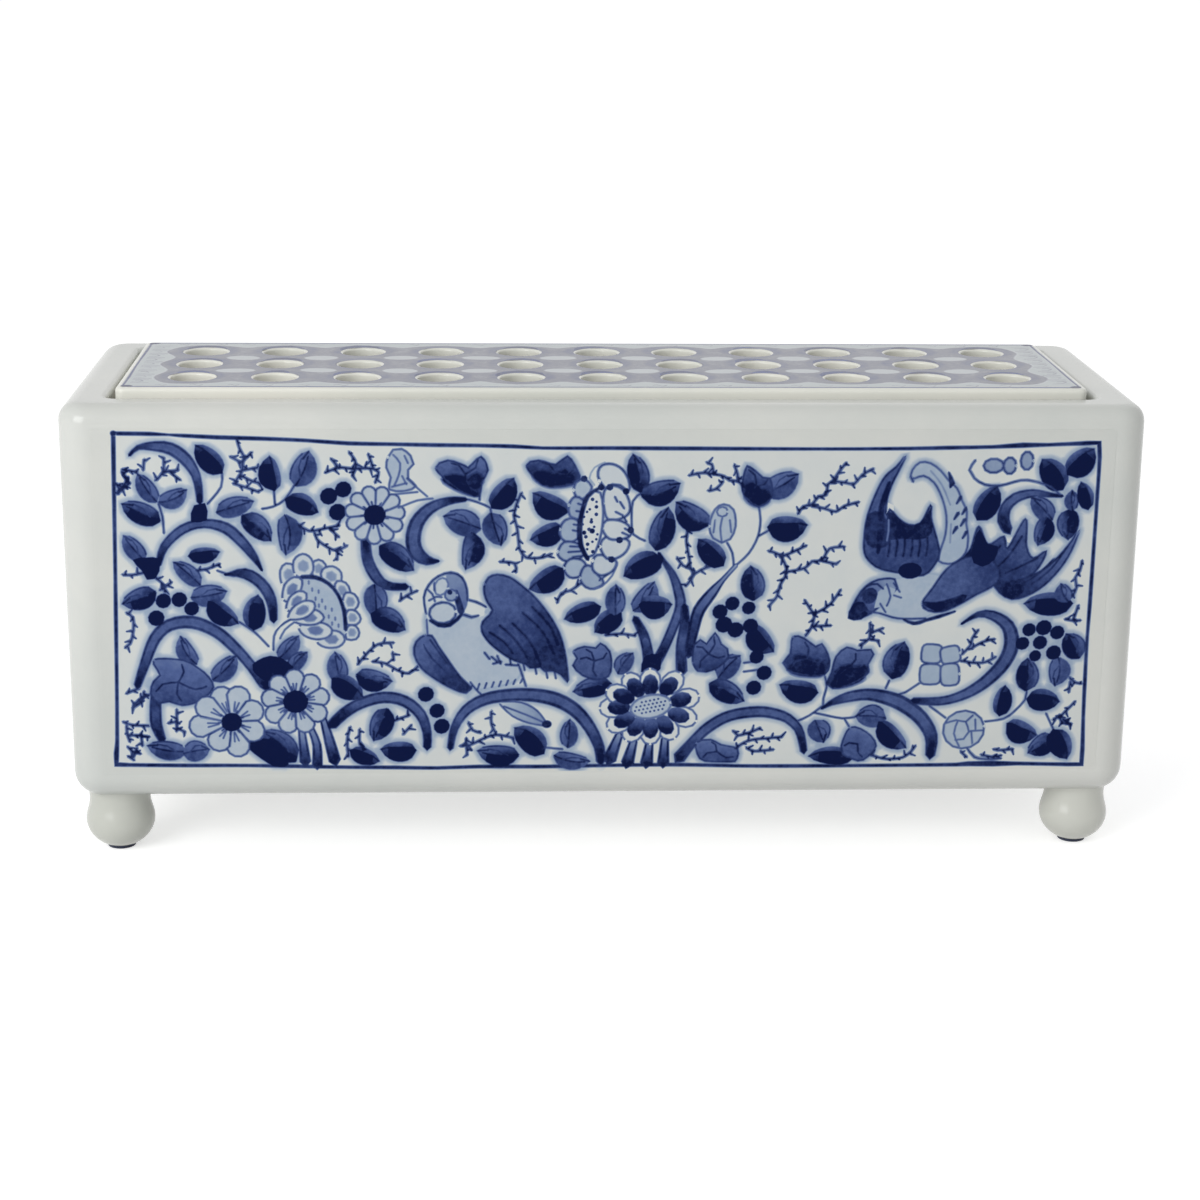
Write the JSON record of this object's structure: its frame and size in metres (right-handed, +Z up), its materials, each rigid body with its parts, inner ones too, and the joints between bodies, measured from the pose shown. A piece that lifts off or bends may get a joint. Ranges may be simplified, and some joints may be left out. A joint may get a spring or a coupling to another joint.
{
  "type": "flower brick vase",
  "caption": "Rectangular glazed porcelain flower brick on ball feet, with a lift-out lid pierced for stems and blue painted birds and blossoms.",
  "frame": {"origin": "on the table, under the middle of the trough", "axes": "+X along the length, to the right seen from the painted front; +Y from the front to the back; +Z up"},
  "size_m": [0.254, 0.086, 0.1133],
  "materials": {
    "glaze": "gloss",
    "lid_glaze": "gloss",
    "foot_glaze": "gloss",
    "biscuit": "matte",
    "felt": "matte"
  },
  "bodies": {
    "vase": {"vase_body": "glaze", "lid_ledge_front": "biscuit", "lid_ledge_back": "biscuit", "lid_ledge_left": "biscuit", "lid_ledge_right": "biscuit", "foot_front_left": "foot_glaze", "foot_front_right": "foot_glaze", "foot_back_left": "foot_glaze", "foot_back_right": "foot_glaze", "foot_pad_front_left": "felt", "foot_pad_front_right": "felt", "foot_pad_back_left": "felt", "foot_pad_back_right": "felt"},
    "lid": {"pierced_lid": "lid_glaze"}
  },
  "joints": [
    {"name": "lid_lift", "type": "slide", "parent": "vase", "child": "lid", "axis": [0, 0, 1], "range_m": [0, 0.06]}
  ]
}
